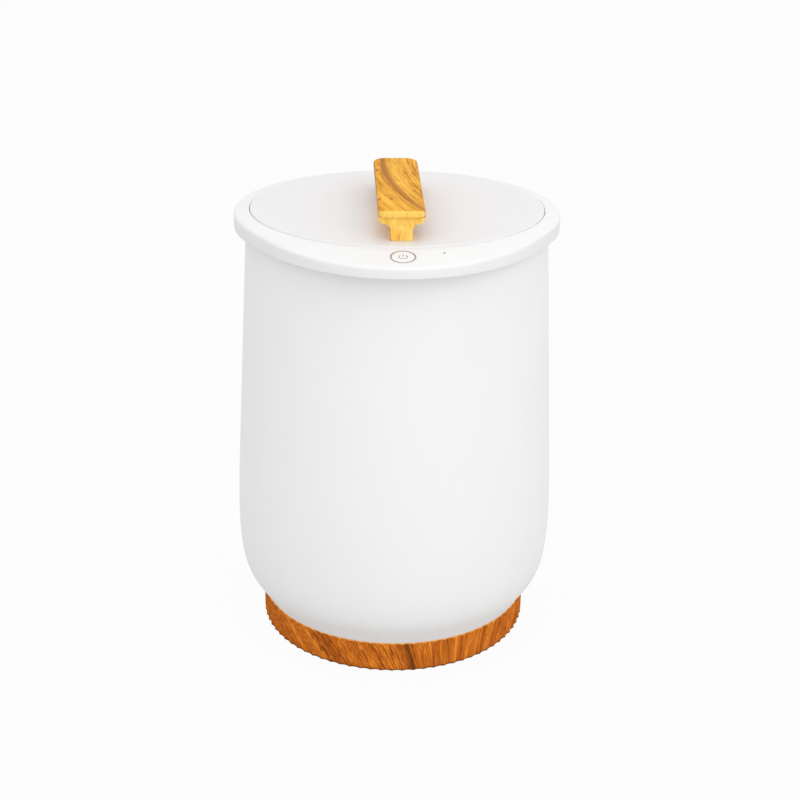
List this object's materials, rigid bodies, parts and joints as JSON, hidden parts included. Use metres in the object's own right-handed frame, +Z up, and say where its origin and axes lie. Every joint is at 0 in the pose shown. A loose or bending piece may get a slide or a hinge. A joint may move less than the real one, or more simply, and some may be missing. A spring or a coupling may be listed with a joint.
{
  "type": "towel warmer bucket",
  "caption": "White round towel warmer bucket with an electric heated drum, a lip collar with a power button, a lift-off lid with a wooden handle and a fluted wooden base ring.",
  "frame": {"origin": "centre of the footprint on the table, under the middle of the whole object's bounding box", "axes": "+Z up, -Y towards the front where the power button and the collar's lip are, +X to the right as seen from above with the front at the bottom"},
  "size_m": [0.3042, 0.3225, 0.4421],
  "materials": {
    "body_white": "satin white moulded plastic",
    "lid_white": "satin white moulded plastic, a little greyer than the body",
    "liner_plastic": "pale grey moulded plastic",
    "drum_metal": "spun aluminium, satin",
    "heater": "silicone heating mat",
    "insulation": "felted fibre",
    "ceramic": "moulded thermostat case",
    "brass_parts": "plain brass",
    "screw_steel": "zinc plated steel",
    "base_wood": "oiled brown wood, fluted",
    "handle_wood": "oiled golden wood with a dark swirl",
    "dark_plastic": "dark moulded plastic",
    "foot_rubber": "soft rubber",
    "seal_rubber": "soft pale silicone",
    "board": "green circuit board",
    "board_parts": "moulded electric components",
    "wire_grey": "wire insulation",
    "wire_red": "heat-proof wire insulation",
    "led": "clear resin",
    "lens": "smoky clear plastic",
    "ring_metal": "satin metal trim",
    "button_face": "semi-gloss white plastic with a grey power mark",
    "plunger_plastic": "moulded plastic"
  },
  "bodies": {
    "bucket": {"outer_shell": "body_white", "inner_drum": "drum_metal", "rim_ring": "liner_plastic", "heater_band": "heater", "insulation_sleeve": "insulation", "insulation_disc": "insulation", "thermostat": "ceramic", "thermal_fuse": "brass_parts", "sensor_strip": "screw_steel", "sensor_nuts": "screw_steel", "base_ring": "base_wood", "base_plate": "dark_plastic", "base_screws": "screw_steel", "rubber_feet": "foot_rubber", "power_inlet": "dark_plastic", "inlet_pins": "brass_parts", "power_board": "board", "board_parts": "board_parts", "board_screws": "screw_steel", "mains_leads": "wire_grey", "heater_leads": "wire_red", "control_cable": "wire_grey", "collar": "body_white", "collar_tray": "body_white", "collar_screws": "screw_steel", "tray_screws": "screw_steel", "control_board": "board", "control_screws": "screw_steel", "button_switch": "dark_plastic", "indicator_led": "led", "indicator_lens": "lens", "button_ring": "ring_metal"},
    "lid": {"lid_cover": "lid_white", "lid_liner": "liner_plastic", "lid_insulation": "insulation", "lid_seal": "seal_rubber", "lid_screws": "screw_steel", "handle_rail": "handle_wood", "handle_cap": "handle_wood", "handle_screws": "screw_steel", "handle_washers": "screw_steel"},
    "button": {"power_button": "button_face", "switch_plunger": "plunger_plastic"}
  },
  "joints": [
    {"name": "lid_lift", "type": "slide", "parent": "bucket", "child": "lid", "axis": [0, 0, 1], "range_m": [0, 0.25]},
    {"name": "button_press", "type": "slide", "parent": "bucket", "child": "button", "axis": [0, 0.1822, -0.9833], "range_m": [0, 0.0008], "stiffness_N_per_m": 500, "springref_m": -0.0004}
  ]
}
